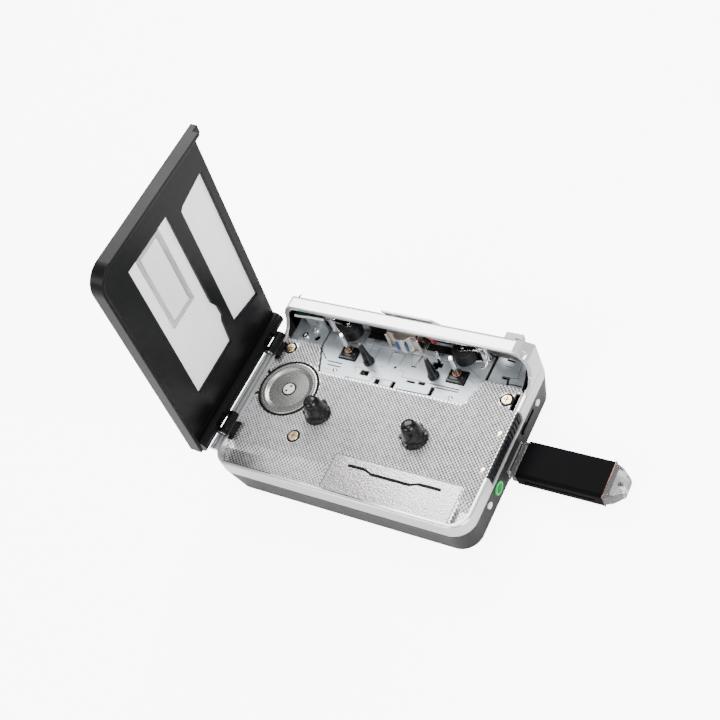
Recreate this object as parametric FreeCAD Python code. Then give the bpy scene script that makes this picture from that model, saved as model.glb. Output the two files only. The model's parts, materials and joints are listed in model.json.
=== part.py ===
import FreeCAD
import Part
import math
import os
from FreeCAD import Vector

# Portable cassette player with its lid open and a memory stick plugged in.
# Frame: origin at the centre of the base, +X towards the stick, +Y towards
# the tape heads, +Z up. Millimetres.

# --- driving dimensions ---------------------------------------------------
BODY_HALF_LENGTH = 55.1
BODY_HALF_WIDTH = 38.7
CORNER_RADIUS = 8.2
WALL = 1.6
SHELL_BOTTOM = 0.0
SEAM_Z = 14.6
RIM_Z = 20.7
FLOOR_Z = 19.0
FLOOR_THICKNESS = 1.2
FRONT_STEP = 1.8
RIM_WIDTH = 1.8

REEL_SPACING = 42.5
REEL_CENTRE_X = -0.5
REEL_Y = -7.7
CAPSTAN_SPACING = 47.9
CAPSTAN_CENTRE_X = 0.1
CAPSTAN_Y = 23.1
CAPSTAN_RADIUS = 1.0
RUNNING_CLEARANCE = 0.05

IDLER_Y = -4.6
IDLER_PIVOT_Y = 9.2
REEL_GEAR_RADIUS = 7.4
IDLER_GEAR_RADIUS = 11.4

MOTOR_X = -40.2
MOTOR_Y = 0.3
MOTOR_RADIUS = 12.1
MOTOR_HOLE_RADIUS = 12.6
PULLEY_RADIUS = 3.0
FLYWHEEL_RADIUS = 11.6
BELT_Z = 6.8
BELT_HEIGHT = 1.4
BELT_THICKNESS = 0.8
BELT_GAP = 0.1

HINGE_X = -52.7
HINGE_Z = 24.4
LID_OPEN_DEG = 82.5
LID_REACH = 107.4
LID_INNER = 6.6
LID_THICKNESS = 2.0
LID_LIP_DEPTH = 3.0
LID_LIP_WIDTH = 1.4
LID_FRONT = -38.6
LID_REAR = 27.3
LID_LIP_REAR = 30.2
HINGE_TUBE_RADIUS = 3.0
PIN_RADIUS = 0.95
BRACKET_Y = (-23.4, 15.7)
BRACKET_WIDTH = 5.6

BRIDGE_FRONT = 28.2
BRIDGE_TOP = 32.9
BRIDGE_WALL = 1.4

DECK_Z = 18.0
DECK_THICKNESS = 1.0

STICK_Y = 0.7
STICK_Z = 5.45
STICK_START = 57.8
STICK_END = 90.5
STICK_WIDTH = 15.2
STICK_HEIGHT = 7.0

CELL_RADIUS = 5.2
CELL_LENGTH = 44.5
CELL_Y = -27.9
CELL_Z = 7.8
CELL_STARTS = (-46.0, -0.9)

GAP = 0.15

REELS_X = (REEL_CENTRE_X - REEL_SPACING / 2, REEL_CENTRE_X + REEL_SPACING / 2)
CAPSTANS_X = (CAPSTAN_CENTRE_X - CAPSTAN_SPACING / 2, CAPSTAN_CENTRE_X + CAPSTAN_SPACING / 2)
INNER_HALF_LENGTH = BODY_HALF_LENGTH - RIM_WIDTH
INNER_HALF_WIDTH = BODY_HALF_WIDTH - RIM_WIDTH
INNER_RADIUS = CORNER_RADIUS - RIM_WIDTH
STRIP_Z = FLOOR_Z - FRONT_STEP
CASE_SCREWS = ((-49.0, -16.5), (48.8, -23.2), (-48.5, 30.0), (46.0, 31.0))
FLOOR_SCREWS = ((-27.2, -19.0), (-49.2, 18.2), (47.4, 16.6))
PIVOTS = ((-34.5, 32.0), (32.8, 31.9))
ROLLERS = ((-25.0, 30.3), (25.4, 29.9))
ROLLER_RADIUS = 4.4
LOCATING_PINS = ((-13.7, 20.3), (15.1, 20.3))


# --- small helpers --------------------------------------------------------
def box(x0, x1, y0, y1, z0, z1):
    return Part.makeBox(x1 - x0, y1 - y0, z1 - z0, Vector(x0, y0, z0))


def rod(x, y, z0, z1, radius):
    return Part.makeCylinder(radius, z1 - z0, Vector(x, y, z0))


def rod_x(x0, x1, y, z, radius):
    return Part.makeCylinder(radius, x1 - x0, Vector(x0, y, z), Vector(1, 0, 0))


def rod_y(x, y0, y1, z, radius):
    return Part.makeCylinder(radius, y1 - y0, Vector(x, y0, z), Vector(0, 1, 0))


def cone(x, y, z0, z1, r0, r1):
    return Part.makeCone(r0, r1, z1 - z0, Vector(x, y, z0))


def ring(x, y, z0, z1, outer, inner):
    return rod(x, y, z0, z1, outer).cut(rod(x, y, z0 - 1, z1 + 1, inner))


def fused(shapes):
    whole = shapes[0]
    for shape in shapes[1:]:
        whole = whole.fuse(shape)
    return whole.removeSplitter()


def without(shape, tools):
    for tool in tools:
        shape = shape.cut(tool)
    return shape


def outline(half_x, half_y, radius, z, cx=0.0, cy=0.0):
    """Closed rounded rectangle, drawn anticlockwise from the front-right corner."""
    edges = []
    corners = ((1, -1), (1, 1), (-1, 1), (-1, -1))
    ends = []
    for index, (sx, sy) in enumerate(corners):
        centre = Vector(cx + sx * (half_x - radius), cy + sy * (half_y - radius), z)
        start = math.radians(-90 + 90 * index)
        points = []
        for step in range(3):
            angle = start + math.radians(45 * step)
            points.append(centre + Vector(math.cos(angle), math.sin(angle), 0) * radius)
        ends.append(points)
    for index, points in enumerate(ends):
        edges.append(Part.Arc(points[0], points[1], points[2]).toShape())
        edges.append(Part.LineSegment(points[2], ends[(index + 1) % 4][0]).toShape())
    return Part.Wire(edges)


def slab(half_x, half_y, radius, z0, z1, cx=0.0, cy=0.0):
    face = Part.Face(outline(half_x, half_y, radius, z0, cx, cy))
    return face.extrude(Vector(0, 0, z1 - z0))


def prism(points, z0, z1):
    """Upright prism over a polygon of (x, y) points."""
    corners = [Vector(x, y, z0) for x, y in points]
    wire = Part.makePolygon(corners + [corners[0]])
    return Part.Face(wire).extrude(Vector(0, 0, z1 - z0))


def prism_x(points, x0, x1):
    """Prism along X over a polygon of (y, z) points."""
    corners = [Vector(x0, y, z) for y, z in points]
    wire = Part.makePolygon(corners + [corners[0]])
    return Part.Face(wire).extrude(Vector(x1 - x0, 0, 0))


def prism_y(points, y0, y1):
    """Prism along Y over a polygon of (x, z) points."""
    corners = [Vector(x, y0, z) for x, z in points]
    wire = Part.makePolygon(corners + [corners[0]])
    return Part.Face(wire).extrude(Vector(0, y1 - y0, 0))


def top_edges_filleted(shape, z, radius):
    edges = []
    for edge in shape.Edges:
        flat = abs(edge.BoundBox.ZMin - z) < 1e-4 and abs(edge.BoundBox.ZMax - z) < 1e-4
        if flat:
            edges.append(edge)
    return shape.makeFillet(radius, edges)


def gear(x, y, z0, z1, outer, depth, teeth, bore):
    """Spur gear with straight-sided teeth."""
    points = []
    for tooth in range(teeth):
        for share, radius in ((0.0, outer - depth), (0.30, outer - depth), (0.42, outer), (0.88, outer)):
            angle = 2 * math.pi * (tooth + share) / teeth
            points.append((x + radius * math.cos(angle), y + radius * math.sin(angle)))
    return prism(points, z0, z1).cut(rod(x, y, z0 - 1, z1 + 1, bore))


def save(name, shape):
    shape.exportStep("parts/" + name + ".step")


# --- housing --------------------------------------------------------------
def tub(inset, bottom, top, foot_inset):
    """Tapered rounded tub, inset from the outside of the housing."""
    hl = BODY_HALF_LENGTH - inset
    hw = BODY_HALF_WIDTH - inset
    radius = CORNER_RADIUS - inset
    sections = [
        outline(hl - foot_inset - 1.2, hw - foot_inset - 1.2, radius - 1.0, bottom),
        outline(hl - foot_inset, hw - foot_inset, radius - 0.5, bottom + 1.4),
        outline(hl, hw, radius, top),
    ]
    return Part.makeLoft(sections, True, True)


def door_space(clearance):
    return box(-36 - clearance, 36 + clearance, -50, -19.6 + clearance, -1, WALL + clearance)


def lower_shell():
    outside = tub(0.0, SHELL_BOTTOM, SEAM_Z, 1.8)
    inside = tub(WALL, SHELL_BOTTOM + WALL, SEAM_Z + 0.01, 1.4)
    shell = outside.cut(inside)
    for x, y in CASE_SCREWS:
        post = rod(x, y, SHELL_BOTTOM + 0.6, 11.9, 2.9)
        shell = shell.fuse(post.common(outside))
    rib = box(-53, 53, -20.4, -19.6, SHELL_BOTTOM + 0.5, 8.0)
    shell = shell.fuse(rib.common(outside).cut(door_space(GAP)))
    tools = [door_space(GAP)]
    for x, y in CASE_SCREWS:
        tools.append(rod(x, y, 0, 2.5, 2.4))
        tools.append(rod(x, y, 0, 12.5, 1.3))
    tools.append(socket_space(0.1))
    tools.append(rod_x(50, 58, JACK_Y, JACK_Z, JACK_RADIUS + 0.05))
    for y in LIGHTS_Y:
        tools.append(rod_x(50, 58, y, LIGHT_Z, LIGHT_RADIUS + 0.02))
    tools.append(box(50, 58, SIDE_SLOT[0], SIDE_SLOT[1], SIDE_SLOT[2], SIDE_SLOT[3]))
    return without(shell, tools).removeSplitter()


def battery_door():
    outside = tub(0.0, SHELL_BOTTOM, SEAM_Z, 1.8)
    space = box(-36, 36, -50, -19.6, -1, WALL)
    door = outside.common(space)
    grips = []
    for index in range(5):
        grips.append(box(-9, 9, -34.0 + 1.6 * index, -33.2 + 1.6 * index, -0.1, 0.3))
    return without(door, grips)


def trim_ring():
    outside = slab(BODY_HALF_LENGTH, BODY_HALF_WIDTH, CORNER_RADIUS, SEAM_Z, RIM_Z)
    outside = top_edges_filleted(outside, RIM_Z, 0.9)
    hole = slab(INNER_HALF_LENGTH, INNER_HALF_WIDTH, INNER_RADIUS, SEAM_Z - 3, RIM_Z + 1)
    band = outside.cut(hole)
    tongue = slab(INNER_HALF_LENGTH + 0.0, INNER_HALF_WIDTH + 0.0, INNER_RADIUS, 13.4, SEAM_Z + 0.5)
    core = slab(INNER_HALF_LENGTH - 0.7, INNER_HALF_WIDTH - 0.7, INNER_RADIUS - 0.7, 13, SEAM_Z + 1)
    tongue = tongue.cut(core)
    tongue = tongue.cut(box(45, 60, -40, 40, 12, 16))
    tongue = tongue.cut(box(-60, 60, -40, -20, 12, 16))
    tongue = tongue.cut(box(-60, -30, -15, 15, 12, 16))
    band = band.fuse(tongue.common(tub(WALL + 0.05, SHELL_BOTTOM + WALL, SEAM_Z + 1, 1.4)))
    tools = [grip_space(0.15)]
    for x in REAR_BUTTONS_X:
        tools.append(button_block(x, GAP))
    return without(band, tools).removeSplitter()


# --- rear bridge that carries the controls --------------------------------
HOOD_OUTER = ((28.2, 31.3), (28.2, 32.5), (28.7, 32.9), (33.1, 32.9), (34.3, 32.2), (38.3, 23.8),
              (38.7, 22.2), (38.7, RIM_Z), (19.0, RIM_Z), (22.4, 21.4), (25.2, 23.2), (27.0, 25.6),
              (27.9, 28.4))
HOOD_INNER = ((10.0, 31.5), (32.6, 31.5), (33.2, 31.0), (36.9, 23.3), (37.2, 22.0), (37.2, 10.0),
              (10.0, 10.0))
SHOULDERS = ((-53.5, 10.0), (-53.5, 28.5), (-52.2, 31.2), (-50.0, 32.9), (47.5, 32.9), (50.0, 32.2),
             (52.0, 30.6), (53.2, 28.8), (54.2, 26.4), (55.1, 23.2), (55.1, 10.0))
PLAY_BUTTON_X = (-10.0, 12.0)
PLAY_PROFILE = ((34.0, 33.4), (35.0, 33.4), (38.9, 25.2), (37.6, 25.2))
PLAY_TRAVEL = 0.6


def rear_bridge():
    """Hollow hood over the tape heads, its ends sweeping down onto the trim ring."""
    outside = prism_x(HOOD_OUTER, -56, 56)
    outside = outside.common(slab(BODY_HALF_LENGTH, BODY_HALF_WIDTH, CORNER_RADIUS, 10, 40))
    outside = outside.common(prism_y(SHOULDERS, 0, 50))
    inset = [(x - math.copysign(BRIDGE_WALL, x), z - BRIDGE_WALL) for x, z in SHOULDERS]
    hollow = prism_x(HOOD_INNER, -56, 56)
    half_x = BODY_HALF_LENGTH - BRIDGE_WALL
    half_y = BODY_HALF_WIDTH - BRIDGE_WALL
    hollow = hollow.common(slab(half_x, half_y, CORNER_RADIUS - BRIDGE_WALL, 9, 40))
    hollow = hollow.common(prism_y(inset, 0, 50))
    x0, x1 = PLAY_BUTTON_X
    window = box(x0 - GAP, x1 + GAP, 33.85, 45, 25.2 - PLAY_TRAVEL - GAP, 40)
    knob = box(35.0, 49.6, 36, 45, 21.6, 25.4)
    lid_tail = box(lid_point(LID_REACH) - 4.0, 60, 20, LID_LIP_REAR + 0.4, HINGE_Z + LID_INNER - 1.0, 40)
    return without(outside, [hollow, window, knob, lid_tail]).removeSplitter()


def play_button():
    x0, x1 = PLAY_BUTTON_X
    cap = prism_x(PLAY_PROFILE, x0, x1)
    return cap.makeFillet(0.3, cap.Edges)


REAR_BUTTONS_X = (-34.5, -24.5, 25.0)


def button_block(x, clearance):
    return box(x - 4.0 - clearance, x + 4.0 + clearance, 36.0 - clearance, 39.5 + clearance,
               15.7 - clearance, 19.3 + clearance)


def rear_button(x):
    cap = button_block(x, 0.0)
    flange = box(x - 4.7, x + 4.7, 35.2, 36.0, 16.0, 19.0)
    cap = cap.makeFillet(0.35, [e for e in cap.Edges if e.BoundBox.YMin > 39.4])
    return fused([cap, flange])


def mode_switch_knob():
    knob = box(38.3, 45.4, 38.0, 41.8, 22.2, 25.0)
    knob = knob.makeFillet(0.5, [e for e in knob.Edges if e.BoundBox.YMin > 41.7])
    stem = box(39.5, 44.1, 34.8, 38.0, 22.2, 24.8)
    return fused([knob, stem])


# --- tape well ------------------------------------------------------------
FLOOR_REAR = 22.5
DECK_FRONT = 10.6
DECK_CORNERS = ((-32.0, DECK_FRONT), (32.3, DECK_FRONT), (35.7, FLOOR_REAR), (35.7, 40), (-37.0, 40),
                (-37.0, FLOOR_REAR))
RAMP_TOP_Y = -26.6
RAMP_FOOT_Y = -29.8
PANEL = (-6.3, 46.5, -36.4, -21.3)


def floor_profile():
    low = FLOOR_THICKNESS
    return ((-INNER_HALF_WIDTH, STRIP_Z - low), (RAMP_FOOT_Y - 0.4, STRIP_Z - low),
            (RAMP_TOP_Y - 0.4, FLOOR_Z - low), (FLOOR_REAR, FLOOR_Z - low), (FLOOR_REAR, FLOOR_Z),
            (RAMP_TOP_Y, FLOOR_Z), (RAMP_FOOT_Y, STRIP_Z), (-INNER_HALF_WIDTH, STRIP_Z))


def well_floor():
    plate = prism_x(floor_profile(), -INNER_HALF_LENGTH + GAP, INNER_HALF_LENGTH - GAP)
    plan = slab(INNER_HALF_LENGTH - GAP, INNER_HALF_WIDTH - GAP, INNER_RADIUS, 10, 25)
    plate = plate.common(plan)
    plateau = box(PANEL[0] - 1.2, PANEL[1] + 1.2, -INNER_HALF_WIDTH + 1.2, RAMP_TOP_Y, STRIP_Z - 0.2, FLOOR_Z)
    solids = [plate, plateau]
    for x in REELS_X:
        solids.append(rod(x, REEL_Y, 15.0, FLOOR_Z, 3.6))
    for x, y in CASE_SCREWS[:2]:
        solids.append(rod(x, y, 12.0, FLOOR_Z - 0.5, 2.6))
    solids.append(rod(REEL_CENTRE_X, IDLER_PIVOT_Y, 14.2, FLOOR_Z - 0.5, 1.0))
    whole = fused(solids)
    tools = [prism(DECK_CORNERS, 10, 25), rod(MOTOR_X, MOTOR_Y, 10, 25, MOTOR_HOLE_RADIUS)]
    for x in REELS_X:
        tools.append(rod(x, REEL_Y, 10, 25, 2.2 + RUNNING_CLEARANCE))
    for x, y in CASE_SCREWS[:2]:
        tools.append(rod(x, y, 10, 16.5, 1.0))
    for x, y in FLOOR_SCREWS:
        tools.append(rod(x, y, 10, 25, 1.1))
        tools.append(rod(x, y, FLOOR_Z - 0.5, 25, 2.3))
    tools.append(box(PANEL[0] - GAP, PANEL[1] + GAP, PANEL[2] - GAP, PANEL[3] + GAP, FLOOR_Z - 0.6, 25))
    tools.append(box(49.6, 51.6, 12.6, 20.2, 10, 25))
    return without(whole, tools).removeSplitter()


def slot_panel():
    """Thin cover set flush in the floor, with the cranked slot cut through it."""
    plate = box(PANEL[0], PANEL[1], PANEL[2], PANEL[3], FLOOR_Z - 0.6, FLOOR_Z)
    width = 1.2
    rear, front = -24.1, -25.3
    slot = ((0.4, rear - width), (0.4, rear), (7.6, rear), (10.6, front), (27.2, front), (30.4, rear),
            (39.3, rear), (39.3, rear - width), (30.0, rear - width), (26.8, front - width),
            (11.0, front - width), (8.0, rear - width))
    return plate.cut(prism(slot, 10, 25))


# --- steel deck -----------------------------------------------------------
DECK_SLOTS = (
    (-31.0, -24.4, 16.6, 17.1), (-30.4, -24.4, 15.0, 15.5),
    (15.2, 27.3, 16.6, 17.1), (18.0, 27.3, 15.5, 16.0),
    (-15.0, -11.2, 13.9, 16.3), (-7.4, -5.2, 11.4, 13.8), (-0.1, 1.6, 11.2, 14.2),
    (16.2, 17.9, 11.6, 15.6), (5.4, 9.1, 15.2, 16.2), (10.4, 13.3, 15.3, 16.7),
    (12.0, 16.6, 24.4, 26.6), (13.4, 15.2, 23.4, 29.4), (-6.1, -3.1, 26.8, 27.3),
)


def deck_plate():
    sheet = prism(((-31.6, DECK_FRONT + 0.3), (31.9, DECK_FRONT + 0.3), (35.2, FLOOR_REAR + 0.2),
                   (35.2, 33.9), (-36.6, 33.9), (-36.6, FLOOR_REAR + 0.2)),
                  DECK_Z - DECK_THICKNESS, DECK_Z)
    cuts = []
    for x in CAPSTANS_X:
        cuts.append(box(x - 3.6, x + 4.4, CAPSTAN_Y - 4.2, CAPSTAN_Y + 2.1, 10, 25))
    for x, y in LOCATING_PINS:
        cuts.append(rod(x, y, 10, 25, 1.6))
    for x, y in PIVOTS:
        cuts.append(rod(x, y, 10, 25, 1.2))
    for x0, x1, y0, y1 in DECK_SLOTS:
        cuts.append(box(x0, x1, y0, y1, 10, 25))
    cuts.append(rod(-1.9, 20.4, 10, 25, 0.6))
    return without(sheet, cuts).removeSplitter()


def side_deck_plate():
    sheet = box(36.3, 51.2, FLOOR_REAR + 0.4, 34.4, DECK_Z - DECK_THICKNESS, DECK_Z)
    x, y = CASE_SCREWS[3]
    post = rod(x, y, 12.0, DECK_Z, 2.6)
    tools = [
        rod(x, y, 10, 16.5, 1.0),
        box(41.0, 44.4, 25.4, 26.8, 16.5, 25),
        box(43.8, 49.8, 23.6, 24.2, 16.5, 25),
    ]
    return without(fused([sheet, post]), tools)


def rear_bracket():
    foot = box(-52.4, -37.4, FLOOR_REAR + 0.4, 32.8, DECK_Z - DECK_THICKNESS, DECK_Z)
    tab = box(-47.0, -38.4, 30.6, 31.6, DECK_Z - 0.2, 24.6)
    x, y = CASE_SCREWS[2]
    post = rod(x, y, 12.0, DECK_Z, 2.6)
    whole = fused([foot, tab, post])
    tools = [rod(x, y, 10, 16.5, 1.0), rod_y(-42.6, 30, 33, 21.4, 1.1), rod(-41.0, 26.0, 10, 25, 1.3)]
    return without(whole, tools)


def capstan_bushes():
    bushes = []
    for x in CAPSTANS_X:
        flange = box(x - 3.4, x + 4.2, CAPSTAN_Y - 4.0, CAPSTAN_Y + 1.9, 16.6, 18.7)
        flange = flange.makeFillet(0.3, [e for e in flange.Edges if e.BoundBox.ZMin > 18.6])
        sleeve = rod(x, CAPSTAN_Y, 9.6, 19.3, 1.9)
        bush = fused([flange, sleeve])
        bushes.append(bush.cut(rod(x, CAPSTAN_Y, 5, 25, CAPSTAN_RADIUS + RUNNING_CLEARANCE)))
    return Part.makeCompound(bushes)


def locating_pins():
    pins = []
    for x, y in LOCATING_PINS:
        stem = rod(x, y, 16.2, DECK_Z, 1.5)
        collar = rod(x, y, DECK_Z, 18.9, 2.3)
        tip = cone(x, y, 18.9, 29.6, 2.0, 0.7)
        pins.append(fused([stem, collar, tip]))
    return Part.makeCompound(pins)


def pivot_pins():
    pins = []
    for x, y in PIVOTS:
        shaft = rod(x, y, 16.4, 27.4, 1.15)
        head = rod(x, y, 27.4, 28.2, 1.9)
        pins.append(fused([shaft, head]))
    return Part.makeCompound(pins)


# --- reels ----------------------------------------------------------------
def spindle(x):
    """Hub driver: toothed skirt under a smooth blunt cone."""
    solids = [
        rod(x, REEL_Y, 14.2, 19.4, 2.2),
        rod(x, REEL_Y, 19.4, 20.4, 5.2),
        cone(x, REEL_Y, 20.4, 22.2, 4.6, 4.3),
        cone(x, REEL_Y, 22.2, 25.6, 4.2, 3.5),
        cone(x, REEL_Y, 25.6, 28.2, 3.5, 2.7),
        cone(x, REEL_Y, 28.2, 29.4, 2.7, 1.5),
    ]
    for index in range(6):
        tooth = box(x - 0.75, x + 0.75, REEL_Y + 3.6, REEL_Y + 5.5, 20.0, 22.2)
        tooth.rotate(Vector(x, REEL_Y, 0), Vector(0, 0, 1), 60 * index + 20)
        solids.append(tooth)
    return fused(solids)


def reel_gear(x):
    return gear(x, REEL_Y, 12.2, 14.0, REEL_GEAR_RADIUS, 0.9, 30, 2.2).fuse(ring(x, REEL_Y, 14.0, 14.9, 4.0, 2.2))


def idler_arm():
    plate = slab(2.6, 9.2, 2.4, 15.2, 16.0, REEL_CENTRE_X, 2.2)
    pin = rod(REEL_CENTRE_X, IDLER_Y, 11.6, 15.4, 1.0)
    clip = rod(REEL_CENTRE_X, IDLER_Y, 11.4, 11.9, 1.8)
    pivot = rod(REEL_CENTRE_X, IDLER_PIVOT_Y, 14.4, 16.4, 2.2)
    hole = rod(REEL_CENTRE_X, IDLER_PIVOT_Y, 10, 20, 1.0 + RUNNING_CLEARANCE)
    return fused([plate, pin, clip, pivot]).cut(hole)


def idler_gear():
    bore = 1.0 + RUNNING_CLEARANCE
    return gear(REEL_CENTRE_X, IDLER_Y, 12.2, 14.0, IDLER_GEAR_RADIUS, 0.9, 46, bore)


# --- drive ----------------------------------------------------------------
def flywheel(x):
    disc = rod(x, CAPSTAN_Y, 6.0, 9.0, FLYWHEEL_RADIUS)
    groove = ring(x, CAPSTAN_Y, 8.2, 10.0, FLYWHEEL_RADIUS - 2.2, 5.0)
    hub = rod(x, CAPSTAN_Y, 5.4, 9.4, 3.0)
    wheel = fused([disc.cut(groove), hub])
    return wheel.cut(rod(x, CAPSTAN_Y, 0, 20, CAPSTAN_RADIUS))


def capstan(x):
    shaft = rod(x, CAPSTAN_Y, 4.9, 28.7, CAPSTAN_RADIUS)
    return shaft.fuse(cone(x, CAPSTAN_Y, 28.7, 29.1, CAPSTAN_RADIUS, 0.6))


def motor_can():
    """Can with a dished top: raised rim, sloping dish and flat middle."""
    can = rod(MOTOR_X, MOTOR_Y, 9.6, 19.2, MOTOR_RADIUS)
    dish = cone(MOTOR_X, MOTOR_Y, 18.4, 19.3, 8.4, 11.2)
    shaft_hole = rod(MOTOR_X, MOTOR_Y, 9, 12, 1.0 + RUNNING_CLEARANCE)
    cap_hole = rod(MOTOR_X, MOTOR_Y, 17.6, 20, 2.9)
    return without(can, [dish, shaft_hole, cap_hole])


def motor_cap():
    cap = rod(MOTOR_X, MOTOR_Y, 17.6, 19.1, 2.85)
    cap = top_edges_filleted(cap, 19.1, 0.4)
    dots = []
    for side in (-1, 1):
        dots.append(rod(MOTOR_X + 0.6 * side, MOTOR_Y + 1.3 * side, 18.7, 20, 0.4))
    return without(cap, dots)


def motor_pulley():
    shaft = rod(MOTOR_X, MOTOR_Y, 5.2, 11.8, 1.0)
    drum = rod(MOTOR_X, MOTOR_Y, 5.6, 9.2, PULLEY_RADIUS)
    flange = rod(MOTOR_X, MOTOR_Y, 5.6, 6.2, PULLEY_RADIUS + 1.2)
    return fused([shaft, drum, flange])


def tangent(first, second):
    """Heading of the run that leaves one signed circle and meets the next."""
    (ax, ay, ar), (bx, by, br) = first, second
    distance = math.hypot(bx - ax, by - ay)
    heading = math.atan2(by - ay, bx - ax) - math.asin((br - ar) / distance)
    normal = Vector(-math.sin(heading), math.cos(heading), 0)
    return Vector(ax, ay, 0) - normal * ar, Vector(bx, by, 0) - normal * br


def drive_belt():
    """Flat belt round the pulley and one flywheel, its back against the other."""
    reach = BELT_GAP + BELT_THICKNESS / 2
    pulley = (MOTOR_X, MOTOR_Y, PULLEY_RADIUS + reach)
    right = (CAPSTANS_X[1], CAPSTAN_Y, FLYWHEEL_RADIUS + reach)
    left = (CAPSTANS_X[0], CAPSTAN_Y, -(FLYWHEEL_RADIUS + reach))
    stops = (pulley, right, left)
    runs = []
    for index in range(3):
        runs.append(tangent(stops[index], stops[(index + 1) % 3]))
    edges = []
    for index in range(3):
        start, end = runs[index]
        edges.append(Part.LineSegment(start, end).toShape())
        cx, cy, radius = stops[(index + 1) % 3]
        leave = runs[(index + 1) % 3][0]
        centre = Vector(cx, cy, 0)
        a0 = math.atan2(end.y - cy, end.x - cx)
        a1 = math.atan2(leave.y - cy, leave.x - cx)
        sweep = (a1 - a0) % (2 * math.pi)
        if radius < 0:
            sweep -= 2 * math.pi
        middle = a0 + sweep / 2
        top = centre + Vector(math.cos(middle), math.sin(middle), 0) * abs(radius)
        edges.append(Part.Arc(end, top, leave).toShape())
    path = Part.Wire(Part.__sortEdges__(edges))
    outer = path.makeOffset2D(BELT_THICKNESS / 2)
    inner = path.makeOffset2D(-BELT_THICKNESS / 2)
    band = Part.Face(outer).extrude(Vector(0, 0, BELT_HEIGHT))
    band = band.cut(Part.Face(inner).extrude(Vector(0, 0, BELT_HEIGHT)))
    band.translate(Vector(0, 0, BELT_Z))
    return band


def flywheel_bracket():
    strip = box(-30.5, 30.7, CAPSTAN_Y - 2.6, CAPSTAN_Y + 2.6, 3.6, 4.6)
    feet = []
    for x in (-29.5, 0.1, 29.7):
        feet.append(rod(x, CAPSTAN_Y, SHELL_BOTTOM + WALL, 3.8, 1.8))
    return fused([strip] + feet)


# --- pinch rollers and head -----------------------------------------------
def pinch_arm(pivot, roller):
    px, py = pivot
    rx, ry = roller
    angle = math.degrees(math.atan2(ry - py, rx - px))
    length = math.hypot(rx - px, ry - py)
    plates = []
    for z0 in (19.4, 26.2):
        plate = box(px, px + length, py - 1.7, py + 1.7, z0, z0 + 0.8)
        plate.rotate(Vector(px, py, 0), Vector(0, 0, 1), angle)
        plates.append(plate)
        plates.append(rod(px, py, z0, z0 + 0.8, 2.4))
        plates.append(rod(rx, ry, z0, z0 + 0.8, 1.9))
    sleeve = rod(px, py, 19.4, 27.0, 1.9)
    axle = rod(rx, ry, 19.4, 27.4, 0.8)
    whole = fused(plates + [sleeve, axle])
    return whole.cut(rod(px, py, 10, 30, 1.15 + RUNNING_CLEARANCE))


def pinch_roller(roller):
    tyre = rod(roller[0], roller[1], 20.5, 25.9, ROLLER_RADIUS)
    tyre = top_edges_filleted(tyre, 25.9, 0.3)
    return tyre.cut(rod(roller[0], roller[1], 10, 30, 0.8 + RUNNING_CLEARANCE))


def head_carriage():
    plate = box(-19.0, 19.0, 27.6, 34.6, 18.3, 19.1)
    upright = box(-8.6, 8.2, 33.8, 34.6, 19.0, 27.0)
    slots = [box(-16.0, -12.6, 29.0, 33.2, 18, 20), box(12.4, 15.8, 29.0, 33.2, 18, 20)]
    return without(fused([plate, upright]), slots)


def tape_head():
    block = box(-6.2, 5.8, 29.2, 33.8, 19.6, 27.6)
    nose = rod(-0.2, 30.6, 19.6, 27.6, 4.0).common(box(-5, 5, 26, 29.4, 19.6, 27.6))
    feet = box(-7.8, 7.4, 30.4, 33.6, 19.1, 20.0)
    return fused([block, nose, feet])


# --- boards, sockets and power --------------------------------------------
JACK_Y = -13.9
JACK_Z = 10.1
JACK_RADIUS = 2.7
JACK_BORE = 1.75
LIGHTS_Y = (-21.6, 23.0)
LIGHT_Z = 10.8
LIGHT_RADIUS = 1.3
SIDE_SLOT = (8.3, 19.9, 9.7, 12.0)


def socket_space(clearance):
    return box(41, 60, STICK_Y - 6.9 - clearance, STICK_Y + 6.9 + clearance,
               STICK_Z - 2.9 - clearance, STICK_Z + 2.9 + clearance)


def usb_socket():
    shell = box(41.2, 54.3, STICK_Y - 6.8, STICK_Y + 6.8, STICK_Z - 2.8, STICK_Z + 2.8)
    hollow = box(42.0, 55, STICK_Y - 6.2, STICK_Y + 6.2, STICK_Z - 2.4, STICK_Z + 2.4)
    legs = []
    for dx in (43.5, 51.5):
        for dy in (-6.4, 5.8):
            legs.append(box(dx, dx + 1.2, STICK_Y + dy, STICK_Y + dy + 0.6, STICK_Z + 2.6, 9.4))
    return fused([shell.cut(hollow)] + legs)


def headphone_jack():
    body = box(42.5, 52.2, JACK_Y - 3.4, JACK_Y + 3.4, JACK_Z - 3.1, JACK_Z + 3.1)
    barrel = rod_x(52.0, 55.2, JACK_Y, JACK_Z, JACK_RADIUS)
    bore = rod_x(43.3, 56, JACK_Y, JACK_Z, JACK_BORE)
    return fused([body, barrel]).cut(bore)


def indicator_lights():
    lights = []
    for y in LIGHTS_Y:
        lights.append(rod_x(52.7, 55.2, y, LIGHT_Z, LIGHT_RADIUS))
    return Part.makeCompound(lights)


def side_switch_knob():
    tab = box(52.4, 55.3, 9.2, 13.4, 10.0, 11.7)
    base = box(51.5, 52.4, 8.8, 13.8, 9.4, 12.2)
    return fused([tab, base])


def main_board():
    board = box(-14.0, 51.4, -18.9, 8.2, 9.4, 10.8)
    notch = box(41.8, 53, JACK_Y - 3.8, JACK_Y + 3.8, 9, 12)
    chips = [box(2.0, 12.0, -12.0, -2.0, 8.3, 9.4), box(18.0, 25.0, -16.0, -9.0, 8.3, 9.4),
             box(30.0, 34.0, -3.0, 5.0, 8.5, 9.4)]
    return fused([board] + chips).cut(notch)


def control_board():
    return box(-50.5, -37.6, 30.0, 35.0, 24.6, 25.8)


def board_wire():
    return Part.makeCylinder(0.45, 12.6, Vector(-50.2, 30.9, 26.3), Vector(1, 0.07, 0))


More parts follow.
